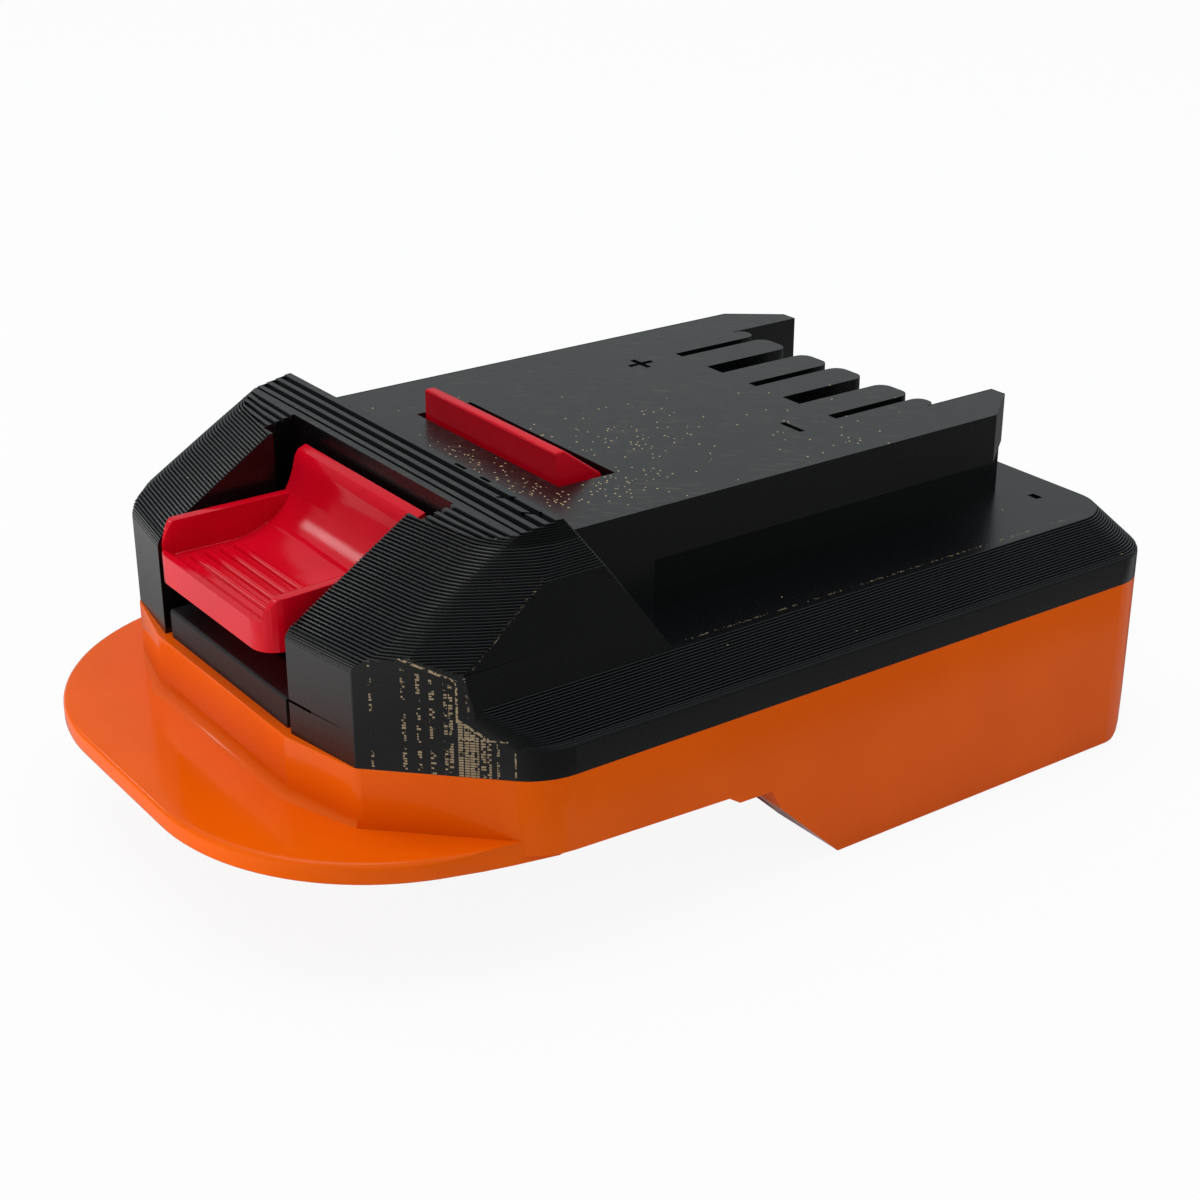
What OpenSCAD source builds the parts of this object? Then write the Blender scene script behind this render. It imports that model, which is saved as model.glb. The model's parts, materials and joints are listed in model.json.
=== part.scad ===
// Slide battery adapter: an orange dock shell that sits on one battery pack, a black
// shell with the rails and slots for another tool, and a sprung red release latch.
// Working frame of the modules: y = 0 at the front facet, z = 0 at the seam of the shells.

/* [Body] */
// Width across both shells
body_w = 80; // [78:0.5:86]
// Length of both shells, without the front tongue
body_l = 106.6; // [104:0.2:114]
// Width of the flat front facet and of the button recess
nose_w = 30.4; // [30:0.2:32]
// Width of each front post, beside the recess
post_w = 10.6; // [10:0.2:11.6]
// How far each post face falls back towards the corner
post_sweep = 1.7; // [1.4:0.1:2.2]
// Radius of the two rear corners
rear_r = 6; // [5.5:0.5:9]
// Radius where the corner facets turn into the sides
corner_r = 8; // [7:0.5:10]
// Wall of the lower shell above its deck ledge
wall = 2.4; // [2:0.1:2.8]

/* [Upper housing] */
// Height of the upright band above the seam
band_h = 3.5; // [3.2:0.1:4]
// Inset of the sloping skirt at the sides
skirt_in = 5.3; // [4.8:0.1:5.6]
// Inset of the sloping skirt at the rear
skirt_rear_in = 2.2; // [1.4:0.1:3]
// Height of the flat shoulder beside the rails
shoulder_h = 7.4; // [7:0.1:8]
// Thickness of the rim that rests on the lower shell
rim_t = 5; // [4.6:0.1:5.4]
// Height of the front posts
post_h = 11.7; // [11.2:0.1:12.2]
// Angle of the slope behind each post
slope_angle = 33; // [32:0.5:34]
// Distance from the front to the rear edge of the crown
crown_y = 25.3; // [25:0.1:26]
// Height of the crown at its rear edge
crown_h = 22.8; // [22.6:0.1:23.4]
// Width of the crown at its rear edge
crown_w = 58.4; // [57:0.2:60]
// Depth of the recess from the front facet to its back wall
recess_d = 19.5; // [19.3:0.1:20]

/* [Tool rails] */
// Height of the rail plate
rail_h = 19.8; // [19.4:0.1:20.2]
// Width across the rails
rail_w = 52.2; // [51:0.2:54]
// Thickness of each rail
rail_t = 6.1; // [5.6:0.1:6.4]
// Width of the neck under the rails
neck_w = 43.4; // [42.6:0.2:44.6]
// Distance from the front to the start of the rail grooves
groove_y = 39.5; // [39:0.5:41]
// Distance from the rear to the end of the rails
rail_stop = 9; // [8.5:0.1:11]
// Skin over the hollow under the rail plate
top_t = 2.6; // [2.2:0.1:2.8]
// Distance between neighbouring terminal slots
slot_pitch = 7.5; // [7.4:0.1:7.8]
// Width of a contact slot
slot_w = 1.5; // [1.3:0.1:1.7]
// Width of a keying slot
key_w = 3.2; // [2.8:0.1:3.4]
// Length of the terminal slots
slot_l = 13.7; // [13:0.1:14]

/* [Latch] */
// Height of the lip's lower edge
button_z = 8.4; // [8.2:0.1:8.6]
// Width of the button
button_w = 26.4; // [26:0.2:27.4]
// Width of the lock bar
bar_w = 27.4; // [26:0.2:27.8]
// Distance from the front to the upright face of the lock bar
bar_y = 35.1; // [34.9:0.1:36]
// How far the lock bar stands above the rail plate
bar_proud = 3.5; // [3.2:0.1:3.6]
// Diameter of the latch springs' wire
spring_wire = 0.9; // [0.7:0.1:1]
// Outer diameter of the latch springs
spring_d = 7.3; // [7:0.1:7.6]

/* [Lower housing] */
// Depth of the tray under the seam
tray_h = 7; // [6.8:0.1:7.6]
// Thickness of the tray floor and the tongue
floor_t = 2.6; // [2.4:0.1:2.9]
// Depth of the rear block under the seam
dock_h = 21.8; // [21:0.1:24]
// Distance from the front to the start of the rear block
dock_y = 45.5; // [43:0.5:48]
// Thickness of the dock's side walls
dock_wall = 6.5; // [6:0.1:7]
// Width of the dock's inward rails
dock_rail = 4; // [3.4:0.1:4.4]
// Thickness of the dock's inward rails
dock_rail_t = 3.5; // [3:0.1:3.8]
// Thickness of the dock's rear wall at the seam
dock_rear = 10.6; // [10:0.2:12]
// How far the rear wall leans in towards the bottom
rear_draft = 3.2; // [2.4:0.1:4]
// How far the lower shell stands proud of the front as a ledge
ledge = 0.9; // [0.6:0.1:1.2]
// How far the tongue reaches in front of the body
tongue_reach = 13.2; // [11:0.2:15]
// Radius of the tongue's corners
tongue_r = 27.5; // [24:0.5:29]

/* [Inside] */
// Thickness of the inner deck
deck_t = 2.4; // [2.2:0.1:2.6]
// Radius of the housing screws' shanks
screw_r = 1.45; // [1.3:0.05:1.5]
// Diameter of the leads
lead_d = 2.2; // [1.8:0.1:2.4]
// Thickness of the contact metal
metal_t = 0.8; // [0.6:0.1:0.9]

/* [Hidden] */
$fn = 48;

// Clearances
eps = 0.05;            // between fixed pieces that touch
slip = 0.3;            // between the latch and what it passes
cut = 1;               // how far a cut runs past its face

// Body outline
half_w = body_w / 2;
nose_x = nose_w / 2;
post_x = nose_x + post_w;
post_turn = atan2(post_sweep, post_w);
corner_y = post_sweep + half_w - post_x;
origin_y = (tongue_reach - body_l) / 2;

// Upper housing
hollow_z = rail_h - top_t;
roof_z = shoulder_h - 2.4;
corner_start = 2.9;    // along the corner facet, to the edge between the two slopes
corner_end = 8.2;      // along the corner facet, to the edge of the flank
slope_y = 14.9;        // where the slope meets the crown beside the recess
brow = [post_x + 1.3, crown_y - 8];    // where slope, corner slope and crown meet
flank_x = half_w - skirt_in;
flank_lean = 1.9;      // how far the flank leans in at its top
flank_h = crown_h - 4.5;               // height of the flank's top edge
hump_foot = crown_y + 10.3;            // where the hump's rear face meets the shoulder
shoulder_r = 4;        // corner radius of the shoulder's front corners
notch_x = nose_x + 2.3;
notch_y = 15.4;
window_w = 24.8;       // latch window in the recess's back wall
back_t = 2.5;          // thickness of that wall
slots_end = body_l - 18.4;
slots_start = slots_end - slot_l;
strip_x = 2.5 * slot_pitch;
rail_end = body_l - rail_stop;
rail_cut = 5;          // chamfer at the outer rear corner of each rail
contact_wall = 2.2;
tooth_r = 1.6;
pocket_x = 21.6;       // hollow in each side of the hump
pocket_end = 31;
pit_x = 26;            // small square pit in the rear shoulder
pit_y = body_l - 7.4;
pit_w = 1.6;
pit_l = 1;
slot_places = [for (i = [-2:2]) i * slot_pitch];
contact_places = [-2 * slot_pitch, 0, 2 * slot_pitch];

// Latch
latch_travel = bar_proud + 0.3;
arm_top = button_z + 0.6;
arm_t = 3;
arm_z = arm_top - arm_t;
arm_w = window_w - 4 * slip;
button_x = button_w / 2;
lip_y = 1.4;
lip_h = 3.4;
floor_z = button_z + 2.6;
scoop_r = 9;
scoop_top = 1.5;
cheek_t = 1.3;
cheek_h = 6.6;
button_back = recess_d - 1;
bar_run = 6.2;
bar_slot_gap = 1.3;
post_r = 1.8;
guide_x = 8.5;
guide_y = 28.5;

// Lower housing and deck
floor_low = tray_h + floor_t;
side_low = floor_low - 0.9;            // depth of the side walls at the front corners
tongue_x = half_w - 2.5 - tongue_r;
deck_gap = 0.25;
sill_gap = 1.3;
sill_h = button_z - latch_travel - slip;
well_r = spring_d / 2 + 1;
well_low = tray_h - 0.4;
well_floor = 1.2;
dock_x = half_w - dock_wall;
dock_end = body_l - dock_rear;
mouth_run = 20;        // how far the dock's cut runs out in front of the rear block

// Fasteners
screw_places = [[-20.5, 10], [20.5, 10], [-26, body_l - 14.6], [26, body_l - 14.6]];
head_r = 2.75;
head_h = 2;
insert_r = 2.1;
insert_l = 4.8;
boss_r = 4;

// Contacts and leads
carrier_front = slots_start + 1;
carrier_back = slots_end - contact_wall - 0.1;
carrier_low = shoulder_h + 0.8;
carrier_top = hollow_z - 0.2;
carrier_leg_x = 1.5 * slot_pitch;
carrier_leg_y = carrier_back - 4;
carrier_leg_r = 2.6;
clip_gap = 1.8;
clip_front = carrier_front + 1;
clip_wall = 1.5;       // carrier left beside the outer clips
carrier_x = contact_places[2] + clip_gap / 2 + metal_t + clip_wall;
hollow_x = carrier_x + 0.3;
tail_w = 2.8;
lead_r = lead_d / 2;
lead_y = clip_front + metal_t + lead_r + eps;
lead_run = 8.2;        // how far a lead runs back on its way through the deck
lead_room = 2.2;
blade_pitch = 10;
block_l = 12;
block_h = 8.1;
blade_h = 5.2;
blade_top = -floor_low - 2;
blade_reach = 14;
tail_y = dock_end - 8;
tail_l = 3;
block_screw_y = dock_end - 3;
small_r = 1;
small_head_r = 2.2;
small_head_h = 1.5;
small_grip = 5;        // thread length in the piece that a small screw holds

// Helpers

function arc(cx, cy, r, from, to, steps = 12) =
    [for (i = [0:steps]) let (a = from + (to - from) * i / steps) [cx + r * cos(a), cy + r * sin(a)]];

function both_sides(half) =
    concat(half, [for (i = [len(half) - 1:-1:0]) [-half[i][0], half[i][1]]]);

// Corner v between edges with headings a and b, moved in by w
function inset(v, a, b, w) =
    v + w * [-sin(a), cos(a)] - w * tan((b - a) / 2) * [cos(a), sin(a)];

// Body outline moved in by w
function plan(w = 0) = both_sides(concat(
    [inset([nose_x, 0], 0, post_turn, w),
     inset([post_x, post_sweep], post_turn, 45, w)],
    arc(half_w - corner_r, corner_y + corner_r * tan(22.5), corner_r - w, -45, 0, 6),
    arc(half_w - rear_r, body_l - rear_r, max(rear_r - w, 0.5), 0, 90)));

// Outline of the flat shoulder: the front facets stay upright
function shoulder_plan() = both_sides(concat(
    [[nose_x, 0], [post_x, post_sweep]],
    arc(flank_x - shoulder_r, corner_y - skirt_in + shoulder_r * tan(22.5), shoulder_r, -45, 0, 6),
    arc(flank_x - rear_r, body_l - skirt_rear_in - rear_r, rear_r, 0, 90)));

// Outline of the lower shell: proud of the front by the ledge
function dock_plan() = both_sides(concat(
    [inset([nose_x, 0], 0, post_turn, -ledge), [post_x, post_sweep] - [0, 0.2]],
    arc(half_w - corner_r, corner_y + corner_r * tan(22.5), corner_r, -45, 0, 6),
    arc(half_w - rear_r, body_l - rear_r, rear_r, 0, 90)));

function tongue_plan() = both_sides(concat(
    arc(tongue_x, tongue_r - tongue_reach, tongue_r, -90, -16, 24),
    [[half_w - 1.2, corner_y + 2], [half_w - 3, corner_y + 12]]));

// Height of the front slope over a point of the plan
function slope_z(p) =
    post_h + tan(slope_angle) * ((p - [nose_x, 0]) * [-sin(post_turn), cos(post_turn)]);

// Closed tube through rings of points, all with the same number of sides
module tube(rings) {
    n = len(rings[0]);
    last = (len(rings) - 1) * n;
    points = [for (ring = rings) each ring];
    sides = [for (i = [0:len(rings) - 2], j = [0:n - 1])
        let (a = i * n + j, b = i * n + (j + 1) % n) each [[a, a + n, b], [b, a + n, b + n]]];
    ends = [for (j = [1:n - 2]) each [[0, j, j + 1], [last, last + j + 1, last + j]]];
    polyhedron(points = points, faces = concat(sides, ends));
}

function unit(v) = v / norm(v);

// Rings across a route that never runs along X
function route_rings(route, r, sides = 8) = [for (i = [0:len(route) - 1])
    let (t = unit(route[min(i + 1, len(route) - 1)] - route[max(i - 1, 0)]),
         u = unit([1, 0, 0] - t[0] * t),
         v = cross(t, u))
    [for (j = [0:sides - 1]) let (a = 360 * (j + 0.5) / sides)
        route[i] + r / cos(180 / sides) * (cos(a) * v + sin(a) * u)]];

module at_body() translate([0, origin_y, dock_h]) children();

module along_x(w) rotate([90, 0, 90]) linear_extrude(height = w, center = true) children();

module slab(low, high) translate([0, 0, low]) linear_extrude(height = high - low) children();

module block(x0, x1, y0, y1, z0, z1) translate([x0, y0, z0]) cube([x1 - x0, y1 - y0, z1 - z0]);

module mid_block(w, y0, y1, z0, z1) block(-w / 2, w / 2, y0, y1, z0, z1);

module rod(x, y, z0, z1, r) translate([x, y, z0]) cylinder(h = z1 - z0, r = r);

module hull_of(points)
    hull() polyhedron(points = points, faces = [for (i = [1:len(points) - 2]) [0, i, i + 1]]);

// Lower housing

module lower_housing() color([0.87, 0.34, 0.02]) at_body() {
    draft = atan(rear_draft / dock_h);
    foot_r = 3;
    foot_y = body_l - rear_draft - foot_r * (1 - sin(draft)) / cos(draft);
    profile = concat(
        [[-ledge - cut, 0], [-ledge - cut, -side_low], [corner_y, -side_low], [dock_y - 6, -floor_low],
         [dock_y - 4.5, -floor_low - 1], [dock_y, -floor_low - 1.1],
         [dock_y + 1.5, -floor_low - 3.8], [dock_y + 10.3, -dock_h]],
        arc(foot_y, foot_r - dock_h, foot_r, -90, -draft, 8),
        [[body_l, 0]]);
    difference() {
        union() {
            intersection() {
                slab(-dock_h - cut, 0) polygon(dock_plan());
                along_x(body_w + 2 * cut) polygon(profile);
            }
            slab(-floor_low, -tray_h) polygon(tongue_plan());
        }
        slab(-deck_t, cut) polygon(plan(wall));
        difference() {
            slab(-tray_h, 0) polygon(plan(wall + 2));
            for (p = screw_places) rod(p[0], p[1], -floor_low, -deck_t, boss_r);
        }
        mid_block(2 * dock_x, dock_y - mouth_run, dock_end, -dock_h + dock_rail_t, -floor_low);
        mid_block(2 * (dock_x - dock_rail), dock_y - mouth_run, dock_end, -dock_h - cut, -floor_low);
        for (p = screw_places) {
            rod(p[0], p[1], -floor_low - cut, cut, screw_r + 0.15);
            rod(p[0], p[1], -floor_low - cut, -floor_low + head_h + 0.2, head_r + 0.25);
        }
        for (i = [-1:1]) block(i * blade_pitch - metal_t / 2 - 0.1, i * blade_pitch + metal_t / 2 + 0.1,
            tail_y - 0.1, tail_y + tail_l + 0.1, -floor_low - cut, -tray_h + cut);
        for (side = [-1, 1])
            rod(side * blade_pitch / 2, block_screw_y, -floor_low - cut, 0, small_r + 0.3);
    }
}

// Upper housing

module hump() {
    corner = [post_x + corner_start, post_sweep + corner_start];
    edge = [post_x + corner_end, post_sweep + corner_end];
    flank_top = flank_x - flank_lean;
    side = [[nose_x, 0, 0], [nose_x, 0, post_h],
        [post_x, post_sweep, 0], [post_x, post_sweep, post_h],
        [corner[0], corner[1], slope_z(corner)],
        [nose_x, slope_y, slope_z([nose_x, slope_y])],
        [brow[0], brow[1], slope_z(brow)],
        [crown_w / 2 - 0.5, crown_y - 5, crown_h - 0.5],
        [crown_w / 2, crown_y, crown_h],
        [edge[0], edge[1], post_h - 0.3],
        [flank_x, corner_y - skirt_in, 0], [flank_x, corner_y - skirt_in, shoulder_h],
        [flank_top, crown_y - 4.7, flank_h], [flank_top, crown_y + 2.7, flank_h],
        [flank_x, hump_foot, 0], [flank_x, hump_foot, shoulder_h]];
    hull_of([for (p = side, s = [-1, 1]) [s * p[0], p[1], p[2]]]);
}

// Teeth between the terminal slots, with round rear corners
module teeth() {
    widths = [slot_w, key_w, slot_w, key_w, slot_w];
    edges = concat([-strip_x], [for (i = [0:4]) each [slot_places[i] - widths[i] / 2,
        slot_places[i] + widths[i] / 2]], [strip_x]);
    for (i = [0:2:10]) {
        x0 = edges[i];
        x1 = edges[i + 1];
        r = min(tooth_r, (x1 - x0) / 2 - 0.1);
        slab(shoulder_h - cut, rail_h) polygon(concat([[x0, slots_start - cut], [x1, slots_start - cut]],
            arc(x1 - r, slots_end - r, r, 0, 90, 6), arc(x0 + r, slots_end - r, r, 90, 180, 6)));
    }
}

module rail_plate() {
    rail_x = rail_w / 2;
    strip = both_sides([[rail_x, recess_d + back_t], [rail_x, rail_end - 1.3 * rail_cut],
        [rail_x - rail_cut, rail_end], [strip_x, rail_end], [strip_x, slots_start]]);
    neck = both_sides([[neck_w / 2, recess_d + back_t], [neck_w / 2, rail_end - 1],
        [neck_w / 2 - 1, rail_end], [strip_x, rail_end], [strip_x, slots_start]]);
    slab(rail_h - rail_t, rail_h) polygon(strip);
    slab(shoulder_h - cut, rail_h - rail_t / 2) polygon(neck);
    mid_block(rail_w, recess_d + back_t, groove_y, shoulder_h - cut, rail_h);
    teeth();
}

module polarity_marks() {
    mark_l = 3.7;
    mark_w = 0.8;
    mark_y = slots_start - 6.2;
    for (side = [-1, 1])
        translate([side * 2 * slot_pitch, mark_y, rail_h]) cube([mark_l, mark_w, 0.8], center = true);
    translate([-2 * slot_pitch, mark_y, rail_h]) cube([mark_w, mark_l, 0.8], center = true);
}

module upper_hollow() {
    difference() {
        union() {
            slab(-cut, roof_z) polygon(plan(rim_t));
            mid_block(2 * hollow_x, recess_d + back_t, slots_end - contact_wall, -cut, hollow_z);
            for (side = [0, 1]) mirror([side, 0, 0]) {
                block(pocket_x, pocket_end, 11, 15, -cut, post_h - 2);
                block(pocket_x, pocket_end, 15, crown_y + 3, -cut, post_h + 2);
            }
        }
        for (p = screw_places) rod(p[0], p[1], 0, shoulder_h - 0.5, boss_r);
    }
    mid_block(nose_w, -cut, recess_d, -cut, crown_h + cut);
    mid_block(2 * notch_x, notch_y, recess_d, post_h, crown_h + cut);
    mid_block(window_w, recess_d - cut, recess_d + back_t + cut, -cut, arm_top + 0.15);
}

module upper_housing() color([0.1, 0.1, 0.11]) at_body() difference() {
    union() {
        slab(0, band_h) polygon(plan());
        hull() {
            slab(band_h - 0.01, band_h) polygon(plan());
            slab(shoulder_h - 0.01, shoulder_h) polygon(shoulder_plan());
        }
        hump();
        rail_plate();
    }
    upper_hollow();
    for (p = screw_places) rod(p[0], p[1], -cut, insert_l + 0.4, insert_r + eps);
    mid_block(bar_w + 2 * bar_slot_gap, bar_y - 0.5, bar_y + bar_run + 1, hollow_z - cut, rail_h + cut);
    for (i = [0:4]) {
        w = i % 2 == 0 ? slot_w : key_w;
        block(slot_places[i] - w / 2, slot_places[i] + w / 2, slots_start, slots_end + cut,
            carrier_low + 0.3, rail_h + cut);
    }
    polarity_marks();
    translate([pit_x, pit_y, shoulder_h]) cube([pit_w, pit_l, pit_w], center = true);
}

// Inner deck with the sill, the spring wells and the latch guides

module inner_deck() color([0.16, 0.16, 0.17]) at_body() {
    difference() {
        union() {
            slab(-deck_t, 0) polygon(plan(wall + deck_gap));
            mid_block(nose_w - 2 * sill_gap, 0.3, wall + 2.2, 0, sill_h);
            for (side = [-1, 1]) rod(side * guide_x, guide_y, -well_low, 0, well_r + 1.2);
        }
        for (side = [-1, 1]) {
            rod(side * guide_x, guide_y, -well_low + well_floor, cut, well_r);
            rod(side * carrier_leg_x, carrier_leg_y, -deck_t - cut, cut, small_r + 0.3);
        }
        for (p = screw_places) rod(p[0], p[1], -deck_t - cut, cut, screw_r + 0.25);
        for (x = contact_places) block(x - lead_room, x + lead_room, lead_y - lead_room, lead_y + lead_run,
            -deck_t - cut, cut);
    }
    for (side = [-1, 1]) rod(side * guide_x, guide_y, -well_low, arm_top + 3.5, post_r);
}

// Release latch: button, arm and lock bar in one moulding

module release_latch() color([0.75, 0.02, 0.09]) at_body() difference() {
    union() {
        button();
        mid_block(arm_w, 8, bar_y + bar_run, arm_z, arm_top);
        mid_block(bar_w - 1, bar_y, bar_y + bar_run, arm_z, rail_h - bar_proud);
        lock_bar();
    }
    for (side = [-1, 1]) rod(side * guide_x, guide_y, arm_z - cut, arm_top + cut, post_r + slip);
}

// Bar with an upright front face and a ramp for the tool's catch
module lock_bar() along_x(bar_w) polygon([[bar_y, rail_h - bar_proud - cut],
    [bar_y + bar_run, rail_h - bar_proud - cut], [bar_y + bar_run, rail_h - 0.2],
    [bar_y + 1.2, rail_h + bar_proud], [bar_y, rail_h + bar_proud]]);

module button() {
    front_r = 3;
    top_z = floor_z + scoop_r;
    outline = both_sides(concat([[0, -lip_y]],
        arc(button_x - front_r, front_r - lip_y, front_r, -90, 0, 8), [[button_x, button_back]]));
    seat = [[-lip_y, button_z], [6, button_z], [8, arm_z], [button_back, arm_z]];
    scoop_y = button_back - scoop_top - scoop_r;
    scoop = concat([[button_back, top_z]], arc(scoop_y, floor_z + scoop_r, scoop_r, 0, -90, 16),
        [[0.6, floor_z], [-0.6, button_z + lip_h], [-lip_y, button_z + lip_h]]);
    cheek = [[-lip_y, button_z], [-lip_y, button_z + lip_h], [0.1, button_z + cheek_h],
        [button_back - 3, button_z + cheek_h], [button_back - 3, button_z]];
    intersection() {
        slab(arm_z - cut, top_z + cut) polygon(outline);
        union() {
            along_x(button_w) polygon(concat(seat, scoop));
            for (side = [-1, 1]) translate([side * (button_x - cheek_t / 2), 0, 0])
                along_x(cheek_t) polygon(cheek);
        }
    }
    for (i = [0:3]) translate([0, 2 + 1.8 * i, floor_z - 0.1]) rotate([0, 90, 0])
        cylinder(h = button_w - 6.5, r = 0.55, center = true, $fn = 24);
}

// Latch springs

spring_low = -well_low + well_floor + eps;
spring_high = arm_z - eps;
spring_turns = 5;
spring_r = (spring_d - spring_wire) / 2;
spring_steps = 8;
spring_line = [for (i = [0:spring_turns * spring_steps]) let (a = 360 * i / spring_steps)
    [spring_r * cos(a), spring_r * sin(a), spring_low + spring_wire / 2
        + (spring_high - spring_low - spring_wire) * i / (spring_turns * spring_steps)]];
spring_gap = min([for (i = [0:len(spring_line) - 1], j = [0:len(spring_line) - 1])
    if (j - i >= spring_steps / 2) norm(spring_line[j] - spring_line[i])]) - spring_wire;
echo(least_gap_between_spring_turns = spring_gap);

module spring(x) color([0.7, 0.71, 0.73]) at_body() translate([x, guide_y, 0])
    tube([for (i = [0:len(spring_line) - 1]) let (a = 360 * i / spring_steps, c = spring_line[i])
        [for (j = [0:5]) let (b = 60 * j)
            c + spring_wire / 2 * [cos(b) * cos(a), cos(b) * sin(a), sin(b)]]]);

module latch_spring_left() spring(-guide_x);

module latch_spring_right() spring(guide_x);

// Contacts on the tool side

module contact_carrier() color([0.2, 0.2, 0.22]) at_body() difference() {
    union() {
        mid_block(2 * carrier_x, carrier_front, carrier_back, carrier_low, carrier_top);
        for (side = [-1, 1])
            rod(side * carrier_leg_x, carrier_leg_y, 0, carrier_low + cut, carrier_leg_r);
    }
    for (x = contact_places) {
        block(x - clip_gap / 2 - metal_t - 0.1, x + clip_gap / 2 + metal_t + 0.1,
            clip_front, carrier_back + cut, carrier_low + 0.8, carrier_top + cut);
        block(x - tail_w / 2 - 0.1, x + tail_w / 2 + 0.1, clip_front, clip_front + metal_t + 0.1,
            carrier_low - cut, carrier_low + 2);
    }
    for (side = [-1, 1]) {
        block(side * slot_pitch - key_w / 2, side * slot_pitch + key_w / 2, carrier_front + 2,
            carrier_back + cut, carrier_low + 0.8, carrier_top + cut);
        rod(side * carrier_leg_x, carrier_leg_y, -cut, carrier_low, small_r + eps);
    }
}

module clip(x) color([0.85, 0.65, 0.3]) at_body() translate([x, 0, 0]) {
    low = carrier_low + 0.8 + eps;
    high = carrier_top - 0.3;
    leaf_y = clip_front + eps;
    leaf_end = carrier_back - 0.5;
    for (side = [0, 1]) mirror([side, 0, 0]) {
        block(clip_gap / 2, clip_gap / 2 + metal_t, leaf_y, leaf_end, low, high);
        rod(clip_gap / 2, leaf_end - 2, low, high, 0.5);
    }
    mid_block(clip_gap + 2 * metal_t, leaf_y, leaf_end, low, low + metal_t);
    mid_block(tail_w, leaf_y, leaf_y + metal_t, carrier_low - 6, low + metal_t);
}

module positive_clip() clip(contact_places[0]);

module sense_clip() clip(contact_places[1]);

module negative_clip() clip(contact_places[2]);

// Terminals on the dock side

module dock_terminal_block() color([0.08, 0.08, 0.09]) at_body() difference() {
    mid_block(3 * blade_pitch, dock_end - block_l, dock_end, -floor_low - block_h, -floor_low);
    for (i = [-1:1]) {
        block(i * blade_pitch - metal_t / 2 - eps, i * blade_pitch + metal_t / 2 + eps,
            dock_end - block_l - cut, tail_y + tail_l + eps, blade_top - blade_h - eps, blade_top + eps);
        block(i * blade_pitch - metal_t / 2 - eps, i * blade_pitch + metal_t / 2 + eps,
            tail_y - eps, tail_y + tail_l + eps, blade_top - cut, -floor_low + cut);
    }
    for (side = [-1, 1])
        rod(side * blade_pitch / 2, block_screw_y, -floor_low - 6, -floor_low + cut, small_r + eps);
}

module blade(x) color([0.78, 0.74, 0.62]) at_body() translate([x, 0, 0]) {
    mid_block(metal_t, dock_end - block_l - blade_reach, tail_y + tail_l, blade_top - blade_h, blade_top);
    mid_block(metal_t, tail_y, tail_y + tail_l, blade_top - eps, wire_z - lead_r - eps);
}

module positive_blade() blade(-blade_pitch);

module sense_blade() blade(0);

module negative_blade() blade(blade_pitch);

// Leads from the clips, through the deck's windows, to the blades' tails

wire_z = -deck_t - lead_r - 0.3;

module lead(from_x, to_x) at_body() tube(route_rings([
    [from_x, lead_y, carrier_low - 0.3],
    [from_x, lead_y, carrier_low * 0.49],
    [from_x, lead_y + lead_run * 0.05, carrier_low * 0.18],
    [from_x, lead_y + lead_run * 0.22, wire_z * 0.21],
    [from_x, lead_y + lead_run * 0.49, wire_z * 0.68],
    [from_x * 0.96 + to_x * 0.04, lead_y + lead_run * 0.73, wire_z * 0.97],
    [from_x * 0.6 + to_x * 0.4, lead_y + lead_run * 1.02, wire_z],
    [to_x, tail_y - 0.6, wire_z],
    [to_x, tail_y + tail_l, wire_z]], lead_r));

module positive_wire() color([0.75, 0.05, 0.06]) lead(contact_places[0], -blade_pitch);

module negative_wire() color([0.06, 0.06, 0.06]) lead(contact_places[2], blade_pitch);

module sense_wire() color([0.85, 0.8, 0.2]) lead(contact_places[1], 0);

module lead_sleeves() color([0.12, 0.12, 0.13]) at_body() for (x = contact_places) {
    sleeve_r = norm([tail_w / 2, lead_r / 2 + metal_t]) + 0.35;
    sleeve_y = lead_y - lead_r / 2;
    sleeve_low = carrier_low - 5;
    difference() {
        rod(x, sleeve_y, sleeve_low, carrier_low - 0.3, sleeve_r + 0.4);
        rod(x, sleeve_y, sleeve_low - cut, carrier_low, sleeve_r);
    }
}

// Fasteners

module housing_screws() color([0.75, 0.75, 0.78]) at_body() for (p = screw_places) difference() {
    union() {
        rod(p[0], p[1], -floor_low + 0.15, -floor_low + 0.15 + head_h, head_r);
        rod(p[0], p[1], -floor_low + head_h, insert_l - 0.2, screw_r);
    }
    translate([p[0], p[1], -floor_low]) cylinder(h = 1.4, r = 1.3, $fn = 6);
}

module threaded_inserts() color([0.8, 0.62, 0.28]) at_body() for (p = screw_places) difference() {
    rod(p[0], p[1], 0.1, 0.1 + insert_l, insert_r);
    rod(p[0], p[1], -cut, insert_l + cut, screw_r + eps);
}

// Screw whose head rests at head_z, with its shank running up or down from there
module small_screw(x, y, head_z, up, length)
    translate([x, y, head_z]) mirror([0, 0, up ? 0 : 1]) difference() {
        union() {
            rod(0, 0, -small_head_h, 0, small_head_r);
            rod(0, 0, -eps, length, small_r);
        }
        mid_block(2 * small_head_r + cut, -0.3, 0.3, -small_head_h - cut, 0.6 - small_head_h);
    }

module carrier_screws() color([0.7, 0.7, 0.72]) at_body() for (side = [-1, 1])
    small_screw(side * carrier_leg_x, carrier_leg_y, -deck_t, true, deck_t + small_grip);

module terminal_block_screws() color([0.7, 0.7, 0.72]) at_body() for (side = [-1, 1])
    small_screw(side * blade_pitch / 2, block_screw_y, -tray_h, false, floor_t + small_grip);

lower_housing();
upper_housing();
inner_deck();
release_latch();
latch_spring_left();
latch_spring_right();
contact_carrier();
positive_clip();
negative_clip();
sense_clip();
dock_terminal_block();
positive_blade();
negative_blade();
sense_blade();
positive_wire();
negative_wire();
sense_wire();
lead_sleeves();
housing_screws();
threaded_inserts();
carrier_screws();
terminal_block_screws();
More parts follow.
